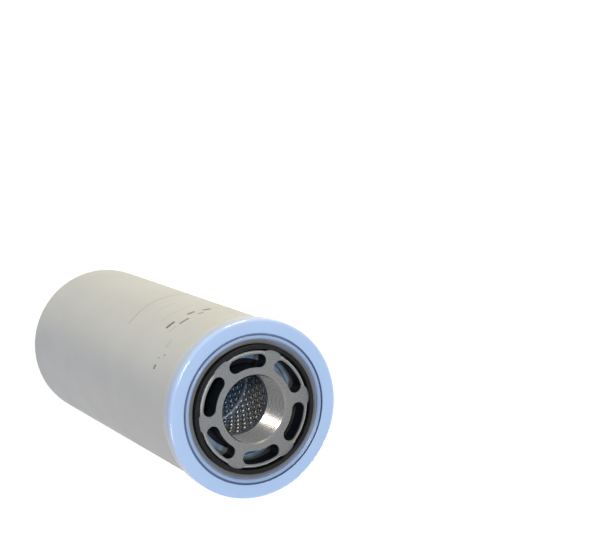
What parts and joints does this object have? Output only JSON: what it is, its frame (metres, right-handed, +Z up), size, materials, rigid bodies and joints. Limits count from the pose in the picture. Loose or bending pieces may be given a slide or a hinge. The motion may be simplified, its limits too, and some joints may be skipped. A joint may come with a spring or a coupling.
{
  "type": "spin-on hydraulic filter",
  "caption": "Tall painted steel can with a stepped collar, closed by a slotted plate with a threaded hub and a face gasket; a pleated element sits on a spring inside.",
  "frame": {"origin": "centre of the closed end, on the plane that the filter stands on", "axes": "+Z up along the can's axis to the threaded plate; +X runs through one of the webs between the ports"},
  "size_m": [0.129, 0.129, 0.3141],
  "materials": {
    "can_paint": "gloss",
    "plate_metal": "matt cast face, bright machined bore",
    "gasket_rubber": "satin",
    "seal_rubber": "matt",
    "zinc_steel": "zinc plated",
    "spring_steel": "bright drawn",
    "cap_steel": "blue-grey zinc plated",
    "adhesive": "cast adhesive",
    "media": "pleated filter sheet"
  },
  "bodies": {
    "housing": {"can": "can_paint", "threaded_plate": "plate_metal", "cover_ring": "can_paint", "gasket": "gasket_rubber", "rim_seal": "seal_rubber", "spring_seat": "zinc_steel", "element_spring": "spring_steel"},
    "element": {"open_end_cap": "cap_steel", "hub_grommet": "seal_rubber", "open_end_potting": "adhesive", "centre_tube": "zinc_steel", "pleated_media": "media", "media_seam_clip": "zinc_steel", "pleat_band_1": "adhesive", "pleat_band_2": "adhesive", "pleat_band_3": "adhesive", "pleat_band_4": "adhesive", "pleat_band_5": "adhesive", "closed_end_potting": "adhesive", "closed_end_cap": "cap_steel"}
  },
  "joints": [
    {"name": "element_float", "type": "slide", "parent": "housing", "child": "element", "axis": [0, 0, 1], "range_m": [-0.003, 0], "stiffness_N_per_m": 15000, "springref_m": 0.008, "deforming": ["element_spring"]}
  ]
}
